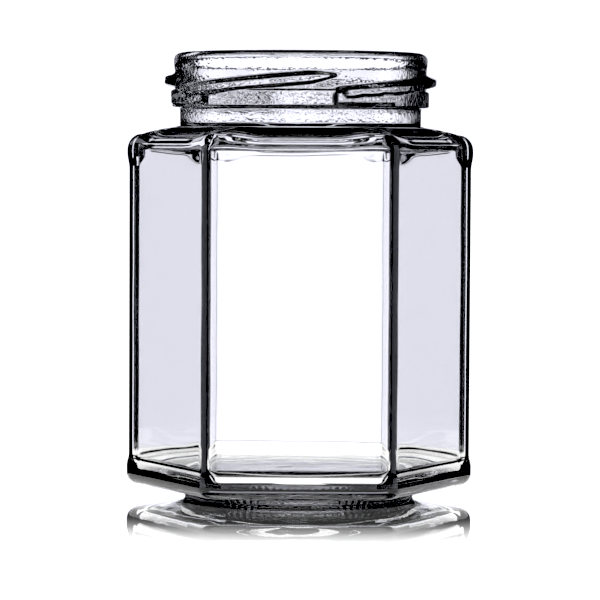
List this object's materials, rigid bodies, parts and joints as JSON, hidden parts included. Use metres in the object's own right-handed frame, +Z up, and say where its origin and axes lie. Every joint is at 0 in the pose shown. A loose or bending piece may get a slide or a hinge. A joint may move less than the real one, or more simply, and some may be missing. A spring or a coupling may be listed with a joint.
{
  "type": "hexagonal glass jar",
  "caption": "Clear glass food jar with a hexagonal body, sunk panels, a round lugged mouth for a twist-off lid and a round foot ring; empty and without its lid.",
  "frame": {"origin": "middle of the foot ring, at the table the jar stands on", "axes": "+Z up through the mouth; two opposite panels face -Y and +Y; two upright corners lie on -X and +X"},
  "size_m": [0.0792, 0.0704, 0.1015],
  "materials": {
    "clear_glass": "clear, fire-polished gloss"
  },
  "bodies": {
    "root": {"jar": "clear_glass"}
  },
  "joints": []
}
